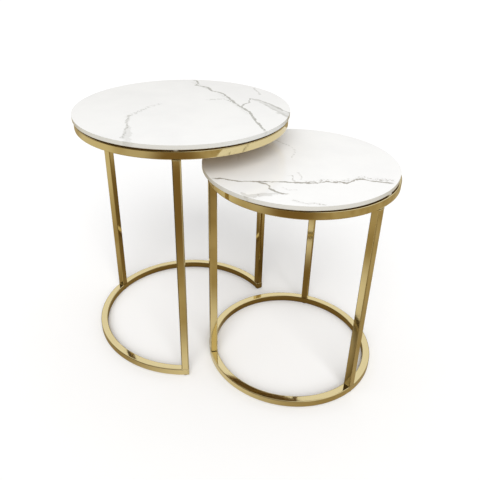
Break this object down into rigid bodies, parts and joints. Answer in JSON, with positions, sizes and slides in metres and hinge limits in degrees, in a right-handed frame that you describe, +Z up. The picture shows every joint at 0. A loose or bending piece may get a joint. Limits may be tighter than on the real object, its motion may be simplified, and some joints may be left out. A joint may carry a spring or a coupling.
{
  "type": "nesting side tables",
  "caption": "Pair of round nesting side tables: marbled stone tops on polished gold tube frames; the lower table slides part way into the open base of the taller.",
  "frame": {"origin": "on the floor, at the middle of the box around both tables as they stand", "axes": "+X from the large table towards the small one, along the way the small table slides in and out; +Z up"},
  "size_m": [0.686, 0.45, 0.545],
  "materials": {
    "stone_top": "polished",
    "gold_frame": "polished",
    "top_pad": "satin",
    "floor_glide": "matte"
  },
  "bodies": {
    "large_frame": {"large_top_ring": "gold_frame", "large_base_hoop": "gold_frame", "large_hoop_cap_front": "gold_frame", "large_hoop_cap_back": "gold_frame", "large_leg_rear": "gold_frame", "large_leg_nest_front": "gold_frame", "large_leg_nest_back": "gold_frame", "large_glide_rear": "floor_glide", "large_glide_nest_front": "floor_glide", "large_glide_nest_back": "floor_glide", "large_top_pad_1": "top_pad", "large_top_pad_2": "top_pad", "large_top_pad_3": "top_pad", "large_top_pad_4": "top_pad", "large_top_pad_5": "top_pad", "large_top_pad_6": "top_pad"},
    "large_tabletop": {"large_top": "stone_top"},
    "small_frame": {"small_top_ring": "gold_frame", "small_base_hoop": "gold_frame", "small_leg_left": "gold_frame", "small_leg_back": "gold_frame", "small_leg_right": "gold_frame", "small_glide_left": "floor_glide", "small_glide_back": "floor_glide", "small_glide_right": "floor_glide", "small_top_pad_1": "top_pad", "small_top_pad_2": "top_pad", "small_top_pad_3": "top_pad", "small_top_pad_4": "top_pad", "small_top_pad_5": "top_pad", "small_top_pad_6": "top_pad"},
    "small_tabletop": {"small_top": "stone_top"}
  },
  "joints": [
    {"name": "nest_slide", "type": "slide", "parent": "large_frame", "child": "small_frame", "axis": [1, 0, 0], "range_m": [-0.065, 0.3]},
    {"name": "large_top_lift", "type": "slide", "parent": "large_frame", "child": "large_tabletop", "axis": [0, 0, 1], "range_m": [0, 0.15]},
    {"name": "small_top_lift", "type": "slide", "parent": "small_frame", "child": "small_tabletop", "axis": [0, 0, 1], "range_m": [0, 0.03]}
  ]
}
